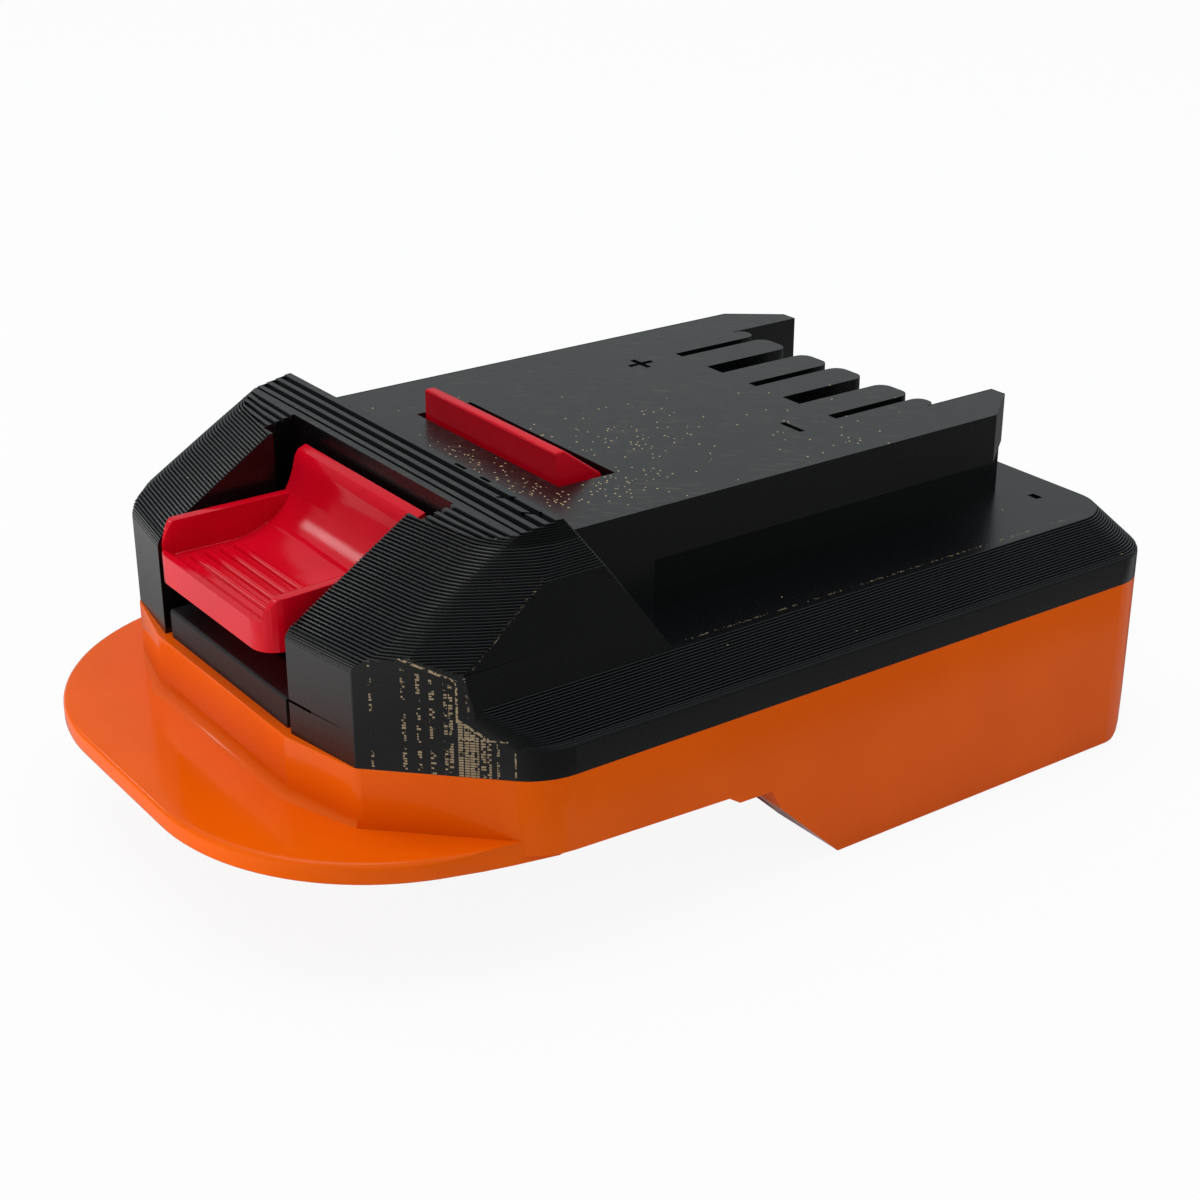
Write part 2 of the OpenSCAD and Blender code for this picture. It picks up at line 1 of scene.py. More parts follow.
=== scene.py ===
# %% [markdown]
# # A battery adapter, dressed for its portrait
# The adapter lets one system's battery pack power another system's tool. An orange moulded shell
# takes the pack from below, a black printed shell carries the tool's rails, and a red latch locks
# the tool. The solids come from the CAD model. Here the visible ones are copied and refined, and
# every piece gets a finish.

# %% Load the CAD frame
import json
import math

import bmesh
import bpy
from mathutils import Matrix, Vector


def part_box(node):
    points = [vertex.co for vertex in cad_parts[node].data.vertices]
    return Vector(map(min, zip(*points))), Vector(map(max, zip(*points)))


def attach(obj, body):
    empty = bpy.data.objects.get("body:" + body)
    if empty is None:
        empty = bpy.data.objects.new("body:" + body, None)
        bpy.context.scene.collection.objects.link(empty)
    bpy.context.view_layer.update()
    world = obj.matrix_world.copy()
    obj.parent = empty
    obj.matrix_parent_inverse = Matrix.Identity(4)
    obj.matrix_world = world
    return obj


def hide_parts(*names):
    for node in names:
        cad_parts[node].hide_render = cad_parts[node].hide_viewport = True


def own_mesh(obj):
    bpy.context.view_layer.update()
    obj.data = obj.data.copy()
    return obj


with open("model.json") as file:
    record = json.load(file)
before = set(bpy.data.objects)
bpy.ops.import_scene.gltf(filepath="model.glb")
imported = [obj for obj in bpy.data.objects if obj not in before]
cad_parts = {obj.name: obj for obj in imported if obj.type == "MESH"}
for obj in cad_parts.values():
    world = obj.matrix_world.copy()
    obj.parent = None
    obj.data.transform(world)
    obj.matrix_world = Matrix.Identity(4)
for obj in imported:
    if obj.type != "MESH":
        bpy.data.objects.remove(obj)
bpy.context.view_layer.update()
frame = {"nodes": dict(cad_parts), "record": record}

# %% [markdown]
# Drawings of such a part start at its front facet and at the seam between the two shells, so this
# script measures in millimetres from there: x to the right, y to the rear, z up. The black shell's
# own box gives both places, so nothing has to be fitted by eye.

# %% Millimetres from the front facet and the seam
MM = 0.001
black_low, black_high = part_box("upper_housing")
FRONT, SEAM = black_low.y, black_low.z


def place(x, y, z):
    """A point given in millimetres from the front facet and the seam."""
    return Vector((x * MM, y * MM + FRONT, z * MM + SEAM))


def read(point):
    """The same measures of a point of a mesh."""
    return point.x / MM, (point.y - FRONT) / MM, (point.z - SEAM) / MM


print("front facet at y", round(FRONT, 5), "and seam at z", round(SEAM, 5))

# %% [markdown]
# ## Camera
# The photograph was taken from the front right and from a little above, with a short telephoto
# view. The camera comes first, because everything later is judged through it.

# %% Camera
camera_data = bpy.data.cameras.new("camera")
camera = bpy.data.objects.new("camera", camera_data)
bpy.context.scene.collection.objects.link(camera)
camera_data.sensor_width = 36
camera_data.lens = 63.53
camera_data.clip_start = 0.01
camera.location = place(194.1, -89.0, 104.1)
looking = Vector((-0.7396, 0.5335, -0.4104))
camera.rotation_euler = looking.to_track_quat("-Z", "Y").to_euler()
bpy.context.scene.camera = camera
bpy.context.scene.view_settings.view_transform = "Standard"
print("camera at", tuple(round(v, 4) for v in camera.location))

# %% [markdown]
# ## Tools for refining a copy
# A CAD mesh arrives as loose triangles. A copy is welded and its flat faces are joined again, so
# that each face of the real part is one face here. Edges are then picked in code, by where they
# are and how sharply they turn, and rounded as a mould or a printer's nozzle rounds them.


# %% Copy, pick and round
def copy_of(node, name):
    """A welded copy of a CAD node, open in edit mode."""
    bpy.ops.object.select_all(action="DESELECT")
    piece = bpy.data.objects.new(name, frame["nodes"][node].data.copy())
    bpy.context.scene.collection.objects.link(piece)
    piece.select_set(True)
    bpy.context.view_layer.objects.active = piece
    piece.data.materials.clear()
    bpy.ops.mesh.customdata_custom_splitnormals_clear()
    bpy.ops.object.mode_set(mode="EDIT")
    bpy.ops.mesh.select_all(action="SELECT")
    bpy.ops.mesh.remove_doubles(threshold=1e-6)
    bpy.ops.mesh.dissolve_limited(angle_limit=math.radians(0.5))
    bpy.ops.mesh.select_mode(type="EDGE")
    return piece


def pick_edges(test):
    """Selects the edges for which test(ends, normals, bend) is true; bend is positive on a ridge."""
    mesh = bmesh.from_edit_mesh(bpy.context.object.data)
    bpy.ops.mesh.select_all(action="DESELECT")
    found = 0
    for edge in mesh.edges:
        if len(edge.link_faces) != 2:
            continue
        ends = [read(v.co) for v in edge.verts]
        normals = [f.normal for f in edge.link_faces]
        if test(ends, normals, math.degrees(edge.calc_face_angle_signed())):
            edge.select = True
            found += 1
    bmesh.update_edit_mesh(bpy.context.object.data)
    return found


def round_edges(what, test, radius, segments=3):
    found = pick_edges(test)
    if found:
        bpy.ops.mesh.bevel(offset=radius * MM, segments=segments, profile=0.5, affect="EDGES",
                           clamp_overlap=True)
    print("rounded", found, "edges of", what, "to", radius, "mm")


def close_up(piece, smooth=35, flat=60):
    """Leaves edit mode. Shading is smooth up to an angle in degrees; faces over flat mm2 stay flat."""
    bpy.ops.object.mode_set(mode="OBJECT")
    bpy.ops.object.shade_smooth_by_angle(angle=math.radians(smooth))
    for face in piece.data.polygons:
        if face.area > flat * MM * MM:
            face.use_smooth = False
    print(piece.name, "has", len(piece.data.vertices), "vertices and", len(piece.data.polygons), "faces")
    return piece


def along(ends, axis, value, room=0.06):
    """True if both ends of an edge lie at that value on an axis."""
    return all(abs(end[axis] - value) < room for end in ends)


def within(ends, wide=(-1, 99), deep=(-99, 199), high=(-99, 99)):
    """True if both ends lie in these ranges: wide for x on either side, deep for y, high for z."""
    return all(wide[0] < abs(x) < wide[1] and deep[0] < y < deep[1] and high[0] < z < high[1]
               for x, y, z in ends)


def rise(ends):
    return abs(ends[0][2] - ends[1][2])


def length(ends):
    return math.dist(ends[0], ends[1])


# %% [markdown]
# ## The orange dock shell
# On the real adapter this is an injection moulding: its edges are soft, because a sharp edge in a
# mould doesn't fill. The rim of the tongue is nearly half round, and the corner under the ledge is
# eased. Bevels on picked edges give this, and keep the flat walls flat.

# %% Orange shell
dock_shell = copy_of("lower_housing", "dock_shell")
TRAY, FLOOR = -7.0, -9.6
TONGUE_MIDDLE, TONGUE_INNER = 14, 24


def upright(normal):
    return abs(normal.z) < 0.25


def on_rim(ends, normals, bend):
    return (bend > 40 and within(ends, deep=(-99, 13.5)) and sum(upright(n) for n in normals) == 1
            and all(math.hypot(x, y - TONGUE_MIDDLE) > TONGUE_INNER for x, y, _ in ends))


round_edges("the wall's foot", lambda ends, normals, bend: bend < -80 and along(ends, 2, TRAY)
            and any(n.y < -0.9 for n in normals) and within(ends, deep=(-99, 3)), 1.2, 4)
round_edges("the tongue's upper rim", lambda ends, normals, bend: on_rim(ends, normals, bend)
            and along(ends, 2, TRAY), 1.7, 6)
round_edges("the tongue's lower rim", lambda ends, normals, bend: on_rim(ends, normals, bend)
            and along(ends, 2, FLOOR), 0.6, 3)
round_edges("the front corners", lambda ends, normals, bend: bend > 15 and rise(ends) > 4
            and within(ends, wide=(24, 27), deep=(-99, 3)), 0.7, 3)
round_edges("the ledge", lambda ends, normals, bend: bend > 40 and along(ends, 2, 0)
            and within(ends, wide=(-1, 38.5), deep=(-99, 14.5))
            and any(upright(n) and n.y < -0.6 for n in normals), 0.3, 3)
round_edges("the dock's foot", lambda ends, normals, bend: bend > 25
            and within(ends, wide=(39.9, 99), deep=(12, 199), high=(-99, -8))
            and any(abs(n.x) > 0.99 for n in normals), 0.5, 3)
close_up(dock_shell)
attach(dock_shell, "housing")
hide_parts("lower_housing")

# %% [markdown]
# ## The black printed shell
# This shell is printed in thin layers, and on every slope the layers show as tiny stairs. A bump
# texture would only pretend: the treads mirror the bright room behind, and the risers stay dark.
# So the stairs are real. First the crown gets its even slope and the soft edges are rounded.

# %% Black shell, rounded edges
rail_shell = copy_of("upper_housing", "rail_shell")
CROWN_FRONT, CROWN_REAR, CROWN_LOW, CROWN_TOP = 14.9, 25.3, 21.4, 23.0
PLATE, BAND_TOP = 19.8, 3.5


def sloped(normal):
    return 0.06 < normal.z < 0.9985


crown_mesh = bmesh.from_edit_mesh(rail_shell.data)
for vert in crown_mesh.verts:
    _, y, z = read(vert.co)
    if z > 22 and 20 < y < CROWN_REAR + 0.1:
        climb = (y - CROWN_FRONT) / (CROWN_REAR - CROWN_FRONT) * (CROWN_TOP - CROWN_LOW)
        vert.co.z = SEAM + (CROWN_LOW + climb) * MM
bmesh.update_edit_mesh(rail_shell.data)

round_edges("the band", lambda ends, normals, bend: 15 < bend < 80 and along(ends, 2, BAND_TOP)
            and any(sloped(n) for n in normals), 0.4, 3)
round_edges("the posts' tops", lambda ends, normals, bend: bend > 20 and length(ends) > 5
            and sum(sloped(n) for n in normals) == 1 and all(n.y < -0.5 for n in normals)
            and within(ends, wide=(14, 99), deep=(-99, 2.5), high=(6, 99)), 1.0, 4)
round_edges("the posts", lambda ends, normals, bend: bend > 15 and rise(ends) > 3
            and within(ends, wide=(25, 26.5), deep=(1, 2.5)), 0.8, 4)
round_edges("the recess", lambda ends, normals, bend: bend > 40 and rise(ends) > 3
            and within(ends, wide=(15.14, 15.26), deep=(-99, 15.3)), 0.6, 3)
round_edges("the corner slopes", lambda ends, normals, bend: bend > 10 and length(ends) > 5
            and all(sloped(n) for n in normals)
            and within(ends, wide=(26, 29.5), deep=(-99, 18), high=(12.5, 99)), 2.2, 5)
round_edges("the crown's front", lambda ends, normals, bend: bend > 6 and length(ends) > 5
            and all(n.z > 0.7 for n in normals)
            and within(ends, wide=(-1, 27), deep=(-99, 18), high=(20.8, 99)), 1.6, 4)
round_edges("the rail plate", lambda ends, normals, bend: bend > 40 and along(ends, 2, PLATE)
            and within(ends, wide=(18.7, 99), deep=(27, 199))
            and any(n.x * ends[0][0] > 0 or n.y > 0.5 for n in normals), 0.45, 3)
round_edges("the slots", lambda ends, normals, bend: bend > 40 and along(ends, 2, PLATE)
            and within(ends, wide=(-1, 18.8)) and not any(45 <= y <= 73 for _, y, _ in ends), 0.22, 2)

# %% [markdown]
# Then every slope is cut four times in each layer: where the tread ends, at the foot of the riser,
# at its top, and a little behind its top. The cuts are moved to heights of their own, which turns
# the slope into a flight of steps. Their noses are eased and there is a groove at each riser's foot,
# as between two strands of plastic. Slicers make layers thinner on gentle slopes, and so does this.

# %% Black shell, printed layers
from bisect import bisect_left

SPLIT, NOSE_DROP, SNAP = 0.004, 0.05, 0.0005
SKIRT_TOP, CROWN_FOOT = 7.3, 21.2
SLOPE_STEP, CROWN_STEP = (0.18, 0.42, 0.12), (0.04, 0.46, 0.38)


def layer_height(z):
    return 0.205 if z < SKIRT_TOP else 0.245 if z < CROWN_FOOT else 0.2


def pick_slopes():
    mesh = bmesh.from_edit_mesh(bpy.context.object.data)
    bpy.ops.mesh.select_all(action="DESELECT")
    for face in mesh.faces:
        if sloped(face.normal):
            face.select = True
    bmesh.update_edit_mesh(bpy.context.object.data)


bpy.ops.mesh.select_mode(type="FACE")
cuts = []
floor_of_layer = BAND_TOP
while floor_of_layer < CROWN_TOP:
    step = layer_height(floor_of_layer)
    middle, top = floor_of_layer + step / 2, floor_of_layer + step
    nose, end, groove = SLOPE_STEP if top < CROWN_FOOT else CROWN_STEP
    cuts += [(middle - end * step, floor_of_layer), (middle - SPLIT, floor_of_layer - groove),
             (middle + SPLIT, top - NOSE_DROP), (middle + nose * step, top)]
    floor_of_layer = top
for height, _ in cuts:
    pick_slopes()
    bpy.ops.mesh.bisect(plane_co=place(0, 0, height), plane_no=(0, 0, 1), threshold=1e-7)
cut_mesh = bmesh.from_edit_mesh(rail_shell.data)
cut_heights = [height for height, _ in cuts]
stairs = [v for v in cut_mesh.verts if any(sloped(f.normal) for f in v.link_faces)]
snapped = 0
for vert in stairs:
    z = read(vert.co)[2]
    near = bisect_left(cut_heights, z - SNAP)
    if near < len(cuts) and abs(cut_heights[near] - z) < SNAP:
        vert.co.z = SEAM + cuts[near][1] * MM
        snapped += 1
bmesh.update_edit_mesh(rail_shell.data)
print("snapped", snapped, "points of", len(cuts) // 4, "layers")
close_up(rail_shell, 30, 30)
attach(rail_shell, "housing")
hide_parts("upper_housing")

# %% [markdown]
# ## The red latch
# The latch is one glossy piece: a button with a scoop for the thumb, an arm inside, and a bar that
# stands out of the rail plate. Seen from the side, the cheeks of the scoop rise from the lip in a
# soft S. So their front ends are cut into thin slices, and each slice is lowered to that curve. The
# top of the scoop rolls over the same way.

# %% Red latch, cheeks and scoop
latch = copy_of("release_latch", "latch_button")
CHEEK_X, LIP_TOP = 11.9, 11.8
RISE_FROM, RISE_TO, SLICE = -1.7, 0.9, 0.2
CHEEK_TOPS = {-1: 15.0, 1: 14.4}
LEVEL_FROM, LEVEL_RUN = 10, 5.5


def on_cheek(face):
    across = [read(v.co)[0] for v in face.verts]
    return min(across) > CHEEK_X - 0.05 or max(across) < 0.05 - CHEEK_X


bpy.ops.mesh.select_mode(type="FACE")
for slice_y in [RISE_FROM + SLICE * i for i in range(4, 15)]:
    latch_mesh = bmesh.from_edit_mesh(latch.data)
    bpy.ops.mesh.select_all(action="DESELECT")
    for face in latch_mesh.faces:
        face.select = on_cheek(face)
    bmesh.update_edit_mesh(latch.data)
    bpy.ops.mesh.bisect(plane_co=place(0, slice_y, 0), plane_no=(0, 1, 0), threshold=1e-7)
latch_mesh = bmesh.from_edit_mesh(latch.data)
cheek_points = {v for f in latch_mesh.faces if on_cheek(f) and f.normal.z > 0.2
                and all(LIP_TOP - 0.1 < read(v.co)[2] < 16 for v in f.verts) for v in f.verts}
for vert in cheek_points:
    x, y, _ = read(vert.co)
    share = min(max((y - RISE_FROM) / (RISE_TO - RISE_FROM), 0), 1)
    full = CHEEK_TOPS[1 if x > 0 else -1]
    full += (CHEEK_TOPS[-1] - full) * max(y - LEVEL_FROM, 0) / LEVEL_RUN
    vert.co.z = SEAM + (LIP_TOP + (full - LIP_TOP) * share * share * (3 - 2 * share)) * MM
ROLL = {19.1: (17.1, 19.05), 20.0: (17.5, 19.6)}
for vert in latch_mesh.verts:
    x, y, z = read(vert.co)
    for height, (new_y, new_z) in ROLL.items():
        if abs(z - height) < 0.05 and 16 < y < 17.2:
            vert.co = place(x, new_y, new_z)
bmesh.update_edit_mesh(latch.data)
print("cheeks have", len(cheek_points), "points on their curves")

# %% [markdown]
# A printed thumb rest has no sharp inside corners either: where the cheeks meet the floor there is
# a broad fillet, and each ridge that a thumb can reach is rounded.

# %% Red latch, fillets
bpy.ops.mesh.select_mode(type="EDGE")
round_edges("the cheeks' feet", lambda ends, normals, bend: bend < -20
            and within(ends, wide=(CHEEK_X - 0.05, CHEEK_X + 0.05), deep=(0.5, 12.8))
            and any(abs(n.x) > 0.9 for n in normals), 1.3, 5)
round_edges("the button", lambda ends, normals, bend: bend > 25 and length(ends) > 0.15
            and within(ends, deep=(-99, 20), high=(8.3, 99))
            and not within(ends, wide=(-1, 10.5), deep=(1, 9)), 0.3, 3)
round_edges("the bar", lambda ends, normals, bend: bend > 25
            and within(ends, deep=(34, 199), high=(19, 99)), 0.3, 3)
close_up(latch)
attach(latch, "latch")
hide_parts("release_latch")

# %% [markdown]
# ## The inner deck
# Only the deck's sill shows, under the button. The real sill is a little lower than its housing
# asks for, and its upper edge is rounded by the printer.

# %% Inner deck
deck = copy_of("inner_deck", "deck")
SILL_TOP, SILL_SEEN = 4.3, 3.5
deck_mesh = bmesh.from_edit_mesh(deck.data)
for vert in deck_mesh.verts:
    _, y, z = read(vert.co)
    if y < 6 and abs(z - SILL_TOP) < 0.05:
        vert.co.z += (SILL_SEEN - SILL_TOP) * MM
bmesh.update_edit_mesh(deck.data)
round_edges("the sill", lambda ends, normals, bend: bend > 40 and along(ends, 2, SILL_SEEN)
            and within(ends, deep=(-99, 0.4)), 0.35, 3)
close_up(deck)
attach(deck, "housing")
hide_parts("inner_deck")

# %% [markdown]
# ## Latch springs
# Two coil springs lift the latch. A small circle stands for the wire's section. The Screw modifier
# sweeps it round and up, its ends are closed, and the mesh is then carried to the spring's place.

# %% Springs
SPRING_WIRE, SPRING_TURNS = 0.9, 5


def coil_spring(node, name):
    low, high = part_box(node)
    section = SPRING_WIRE * MM / 2
    bpy.ops.object.select_all(action="DESELECT")
    bpy.ops.mesh.primitive_circle_add(vertices=12, radius=section, rotation=(math.radians(90), 0, 0),
                                      location=((high.x - low.x) / 2 - section, 0, 0))
    piece = bpy.context.object
    piece.name = name
    bpy.ops.object.transform_apply(location=True, rotation=True, scale=True)
    screw = piece.modifiers.new("coil", "SCREW")
    screw.steps = screw.render_steps = 32
    screw.iterations = SPRING_TURNS
    screw.screw_offset = (high.z - low.z - 2 * section) / SPRING_TURNS
    bpy.ops.object.modifier_apply(modifier=screw.name)
    bpy.ops.object.mode_set(mode="EDIT")
    bpy.ops.mesh.select_mode(type="EDGE")
    bpy.ops.mesh.select_all(action="DESELECT")
    bpy.ops.mesh.select_non_manifold()
    bpy.ops.mesh.fill()
    bpy.ops.mesh.select_all(action="SELECT")
    bpy.ops.mesh.normals_make_consistent(inside=False)
    middle = (low + high) / 2
    bpy.ops.transform.translate(value=(middle.x, middle.y, low.z + section))
    close_up(piece, 50)
    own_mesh(piece)
    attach(piece, "housing")
    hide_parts(node)
    return piece


springs = [coil_spring("latch_spring_left", "coil_left"),
           coil_spring("latch_spring_right", "coil_right")]

# %% [markdown]
# ## Leads
# Three short insulated leads join the terminal clips to the blades below. Each is a smooth curve
# with a round section, made a mesh at the end. They run where the CAD model has them.

# %% Leads
LEAD_RADIUS = 1.1


def lead(node, name, start, end):
    curve = bpy.data.curves.new(name, "CURVE")
    curve.dimensions = "3D"
    curve.bevel_depth = LEAD_RADIUS * MM
    curve.bevel_resolution = 5
    curve.resolution_u = 8
    curve.use_fill_caps = True
    spline = curve.splines.new("BEZIER")
    route = [(start, 78.45, 7.9), (start, 78.45, 4.02), (start, 78.86, 1.48), (start, 80.25, -0.8),
             (start, 82.47, -2.58), (start * 0.96 + end * 0.04, 84.44, -3.69),
             (start * 0.6 + end * 0.4, 86.81, -3.8), (end, 88.6, -3.8), (end, 91, -3.8)]
    spline.bezier_points.add(len(route) - 1)
    for point, spot in zip(spline.bezier_points, route):
        point.co = place(*spot)
        point.handle_left_type = point.handle_right_type = "AUTO"
    piece = bpy.data.objects.new(name, curve)
    bpy.context.scene.collection.objects.link(piece)
    bpy.ops.object.select_all(action="DESELECT")
    piece.select_set(True)
    bpy.context.view_layer.objects.active = piece
    bpy.ops.object.convert(target="MESH")
    piece = bpy.context.object
    bpy.ops.object.mode_set(mode="EDIT")
    bpy.ops.mesh.select_all(action="SELECT")
    bpy.ops.mesh.remove_doubles(threshold=1e-6)
    close_up(piece, 50)
    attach(piece, "housing")
    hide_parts(node)
    return piece


leads = [lead("positive_wire", "lead_positive", -15, -10),
         lead("sense_wire", "lead_sense", 0, 0),
         lead("negative_wire", "lead_negative", 15, 10)]

# %% [markdown]
# ## Shader maths
# A finish is a small sum of masks: where the wear is, how rough it is there, what colour shows. A
# socket is wrapped in a class whose operators add Math nodes, so that such a sum reads as a sum.


# %% A socket that can be added and multiplied
class Wire:
    """A socket of a shader tree. Arithmetic on it adds Math nodes."""

    def __init__(self, tree, socket):
        self.tree, self.socket = tree, socket

    def node(self, kind, inputs, output=0, stops=None, **settings):
        """Any other node: its settings first, then the numbers, colours or links of its sockets."""
        made = self.tree.nodes.new(kind)
        for name, value in settings.items():
            setattr(made, name, value)
        if stops:
            made.color_ramp.interpolation = "CONSTANT"
            ramp = made.color_ramp.elements
            while len(ramp) < len(stops):
                ramp.new(0.5)
            for element, (position, colour) in zip(ramp, stops):
                element.position, element.color = position, colour
        for name, value in inputs.items():
            if isinstance(value, Wire):
                self.tree.links.new(value.socket, made.inputs[name])
            else:
                made.inputs[name].default_value = value
        return Wire(self.tree, made.outputs[output])

    def math(self, operation, *others):
        """A Math node with this wire in its first socket."""
        return self.node("ShaderNodeMath", dict(enumerate((self, *others))), operation=operation)

    def __add__(self, other):
        return self.math("ADD", other)

    __radd__ = __add__

    def __sub__(self, other):
        return self.math("SUBTRACT", other)

    def __rsub__(self, other):
        return self.math("MULTIPLY_ADD", -1.0, other)

    def __mul__(self, other):
        return self.math("MULTIPLY", other)

    __rmul__ = __mul__

    def __truediv__(self, other):
        return self.math("DIVIDE", other)

    def __abs__(self):
        return self.math("ABSOLUTE")

    def __gt__(self, other):
        return self.math("GREATER_THAN", other)

    def __lt__(self, other):
        return self.math("LESS_THAN", other)

    def step(self, low, high):
        """0 below low, 1 above high, smooth between them; turned round where high is below low."""
        return self.node("ShaderNodeMapRange", {"Value": self, "From Min": low, "From Max": high},
                         interpolation_type="SMOOTHSTEP")

    def mix(self, first, second):
        """Colour: first where this is 0, second where it is 1."""
        return self.node("ShaderNodeMix", {0: self, 6: first, 7: second}, output=2, data_type="RGBA")

    def noise(self, scale, detail=3.0, rough=0.5):
        """Noise over this vector, about 0.5 on average."""
        return self.node("ShaderNodeTexNoise", {"Vector": self, "Scale": scale, "Detail": detail,
                                                "Roughness": rough})

    def stretch(self, x, y, z):
        return self.node("ShaderNodeVectorMath", {0: self, 1: (x, y, z)}, operation="MULTIPLY")

    def split(self):
        first = self.node("ShaderNodeSeparateXYZ", {0: self})
        return [Wire(self.tree, socket) for socket in first.socket.node.outputs]


# %% [markdown]
# Every finish starts from a Principled shader and from a position in millimetres, measured from the
# front facet and the seam like everything else. So a mark can be put where it is on the real part,
# and it stays there when the part is turned or moved.


# %% Start and end of a material
def finish(name):
    """A new material with its shader, and its position wire in millimetres from front and seam."""
    material = bpy.data.materials.new(name)
    material.use_nodes = True
    tree = material.node_tree
    shader = tree.nodes["Principled BSDF"]
    start = Wire(tree, tree.nodes.new("ShaderNodeTexCoord").outputs["Object"])
    origin = place(0, 0, 0)
    moved = start.node("ShaderNodeVectorMath", {0: start, 1: origin}, operation="SUBTRACT")
    return material, shader, moved.stretch(1 / MM, 1 / MM, 1 / MM)


def facing(wire):
    """The surface's own normal, split in three."""
    return wire.node("ShaderNodeNewGeometry", {}, output="Normal").split()


def feed(shader, **links):
    """Links wires to the shader's sockets and sets numbers on them."""
    for name, value in links.items():
        socket = shader.inputs[name.replace("_", " ")]
        if isinstance(value, Wire):
            value.tree.links.new(value.socket, socket)
        else:
            socket.default_value = value


def bump(height, distance, strength=1.0):
    """A Bump node for heights in 0 to 1 over a distance in millimetres."""
    return height.node("ShaderNodeBump", {"Height": height, "Distance": distance * MM,
                                          "Strength": strength})


# %% [markdown]
# ## Orange plastic
# Glossy moulded plastic isn't one colour: it is a little deeper where it flows thin, and its gloss
# carries a fine orange-peel and small scuffs. Broad soft noise changes the colour, finer noise the
# roughness.

# %% Orange finish
orange, shader, where = finish("dock_orange")
clouds = where.noise(0.06, 2)
scuffs = where.stretch(0.25, 0.9, 0.9).noise(1.6, 6, 0.65).step(0.62, 0.74)
colour = clouds.step(0.3, 0.7).mix((0.80, 0.104, 0.0006, 1), (0.85, 0.114, 0.0009, 1))
feed(shader, Base_Color=(scuffs * 0.06).mix(colour, (0.90, 0.30, 0.10, 1)),
     Roughness=0.09 + where.noise(0.5, 3) * 0.06 + scuffs * 0.12,
     Normal=bump(where.noise(1.1, 2), 0.02, 0.25), Specular_IOR_Level=0.12)
dock_shell.data.materials.append(orange)
print("orange nodes:", len(orange.node_tree.nodes))

# %% [markdown]
# ## Black print
# Printed plastic shows how it was made. Level faces carry the nozzle's strokes, walls carry faint
# layer lines, and there are pale crumbs where the surface was scraped clean. On the right front
# facet the scraping left columns of tan dashes, one dash to a layer.

# %% Black finish
black, shader, where = finish("shell_black")
x, y, z = where.split()
to_right, to_rear, up = facing(where)
level = up.step(0.9, 0.97)

slant = where.node("ShaderNodeMapping", {"Vector": where, "Rotation": (0, 0, math.radians(45))})
strokes = slant.stretch(2.4, 0.05, 1).noise(1.0, 1) * level
walls = where.stretch(0.02, 0.02, 5.0).noise(1.0, 2) * (1 - level)
grain = where.noise(2.2, 4, 0.6)
print("nodes for the bare print:", len(black.node_tree.nodes))

# %% [markdown]
# The facet runs slantwise from the post to the side. A dash is one cell of a grid on it: so long
# along the run, and one layer high. Each column of dashes has a place, a half width and a share of
# filled cells, and a random number for each cell decides which ones are filled. All dashes end below
# the facet's upper edge, which comes down in two slants with a bend between them.

# %% Black finish, tan dashes on the right front facet
DASH, ROW, FACET_RUN = 0.3, 0.29, 18.0
FACET_X, FACET_Y, WAY_X, WAY_Y = 25.8, 1.5, 0.702, 0.713
BEND = 10.9
run = (x - FACET_X) * WAY_X + (y - FACET_Y) * WAY_Y
facet = (to_right * WAY_Y - to_rear * WAY_X).step(0.95, 0.985) * (x > 20)
before_bend = (run < BEND) * ((z + run * 0.3) < 13.3)
after_bend = (run > BEND) * ((z + (run - 11) * 0.62) < 6.5)
below_edge = before_bend + after_bend
COLUMNS = ((1.97, 0.14, 0.5), (5.37, 0.2, 0.7), (6.91, 0.2, 0.6), (8.34, 0.28, 0.75),
           (9.7, 0.16, 0.7), (10.25, 0.2, 0.8), (11.2, 0.26, 0.95), (11.8, 0.26, 0.95),
           (12.4, 0.26, 0.9), (12.9, 0.16, 0.8), (13.5, 0.26, 0.75), (14.1, 0.2, 0.6),
           (15.0, 0.12, 0.6))
stops = [(0.0, (0, 0, 0, 1))]
for spot, half_width, share in COLUMNS:
    stops += [((spot - half_width) / FACET_RUN, (share, share, share, 1)),
              ((spot + half_width) / FACET_RUN, (0, 0, 0, 1))]
shares = run.node("ShaderNodeValToRGB", {"Fac": run / FACET_RUN}, stops=stops)
cell = run.node("ShaderNodeCombineXYZ", {0: (run / DASH).math("FLOOR"), 1: (z / ROW).math("FLOOR")})
chance = cell.node("ShaderNodeTexWhiteNoise", {"Vector": cell}, output="Value")
in_row = abs((z / ROW).math("FRACT") - 0.5) < 0.34
patches = where.stretch(0.45, 0.45, 0.8).noise(1.0, 3, 0.6).step(0.36, 0.6)
patches = patches + (run > BEND) * (1 - patches) * 0.8
scrapes = facet * below_edge * in_row * (chance < shares * patches)
print("columns of dashes:", len(COLUMNS))
